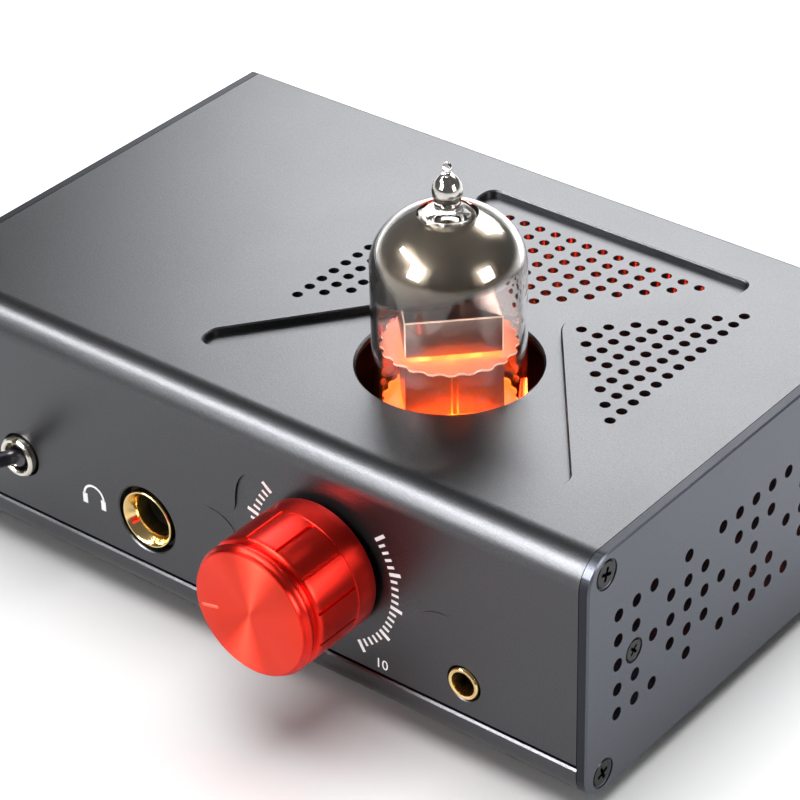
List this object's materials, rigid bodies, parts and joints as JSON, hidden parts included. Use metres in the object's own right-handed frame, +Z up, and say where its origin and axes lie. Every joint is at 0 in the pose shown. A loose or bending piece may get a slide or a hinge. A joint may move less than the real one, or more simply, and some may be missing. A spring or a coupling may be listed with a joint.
{
  "type": "microphone preamp",
  "caption": "Desktop vacuum-tube preamp in a perforated metal case, with a volume knob, a toggle switch, a headphone jack and a microphone jack.",
  "frame": {"origin": "on the resting surface under the feet, below the middle of the bounding box", "axes": "+X to the right along the case, -Y towards the user who faces the knob, +Z up"},
  "size_m": [0.1236, 0.104, 0.0732],
  "materials": {
    "gunmetal": "bead-blasted, anodised gunmetal",
    "end_plate": "bead-blasted, anodised blue-grey",
    "black_steel": "black oxide",
    "rubber": "matte",
    "red_anodised": "red anodised, spun and turned",
    "steel": "plated",
    "dark_steel": "dark polished",
    "nickel": "nickel plate",
    "gold": "gold plate",
    "black_plastic": "moulded",
    "glass": "clear, silvered dome",
    "electrode": "nickel sheet",
    "mica": "split mica",
    "ceramic": "glazed ceramic",
    "glow": "glowing orange",
    "board": "green solder resist",
    "capacitor": "printed sleeve",
    "film_capacitor": "dipped",
    "white_plastic": "moulded",
    "red_plastic": "moulded",
    "black_aluminium": "black anodised"
  },
  "bodies": {
    "case": {"upper_shell": "gunmetal", "lower_shell": "gunmetal", "end_plate_left": "end_plate", "screw_left_front_bottom": "black_steel", "screw_left_front_top": "black_steel", "screw_left_rear_bottom": "black_steel", "screw_left_rear_top": "black_steel", "screw_left_front_middle": "black_steel", "screw_left_rear_middle": "black_steel", "board_rail_left": "steel", "end_plate_right": "end_plate", "screw_right_front_bottom": "black_steel", "screw_right_front_top": "black_steel", "screw_right_rear_bottom": "black_steel", "screw_right_rear_top": "black_steel", "screw_right_front_middle": "black_steel", "screw_right_rear_middle": "black_steel", "board_rail_right": "steel", "foot_front_left": "rubber", "foot_front_right": "rubber", "foot_rear_left": "rubber", "foot_rear_right": "rubber", "tube_socket": "ceramic", "tube_lamp": "glow", "pot_body": "steel", "pot_nut": "nickel", "toggle_body": "nickel", "phone_jack_body": "black_plastic", "phone_jack_ring": "gold", "mic_jack_body": "black_plastic", "mic_jack_ring": "gold", "rca_barrel_left": "gold", "rca_barrel_right": "gold", "rca_insert_left": "white_plastic", "rca_insert_right": "red_plastic", "rca_block": "black_plastic", "dc_jack": "black_plastic", "circuit_board": "board", "filter_capacitor_1": "capacitor", "filter_capacitor_2": "capacitor", "coupling_capacitor": "film_capacitor", "headphone_amp_chip": "black_plastic", "heat_sink": "black_aluminium", "heater_regulator": "black_plastic"},
    "knob": {"volume_knob": "red_anodised", "knob_set_screw": "black_steel", "pot_shaft": "steel"},
    "switch_lever": {"toggle_lever": "dark_steel"},
    "tube": {"tube_glass": "glass", "tube_lower_mica": "mica", "tube_upper_mica": "mica", "tube_divider": "electrode", "tube_anode_left": "electrode", "tube_anode_right": "electrode", "tube_cathode_left": "glow", "tube_cathode_right": "glow", "tube_upper_shield": "electrode", "tube_getter": "electrode", "tube_stem": "glass"}
  },
  "joints": [
    {"name": "volume_turn", "type": "hinge", "parent": "case", "child": "knob", "pos_m": [0.0174, -0.03645, 0.0245], "axis": [0, 1, 0], "range_deg": [-47, 253]},
    {"name": "switch_throw", "type": "hinge", "parent": "case", "child": "switch_lever", "pos_m": [-0.0408, -0.03645, 0.0182], "axis": [1, 0, 0], "range_deg": [0, 36]},
    {"name": "tube_pull", "type": "slide", "parent": "case", "child": "tube", "axis": [0, 0, 1], "range_m": [0, 0.06]}
  ]
}
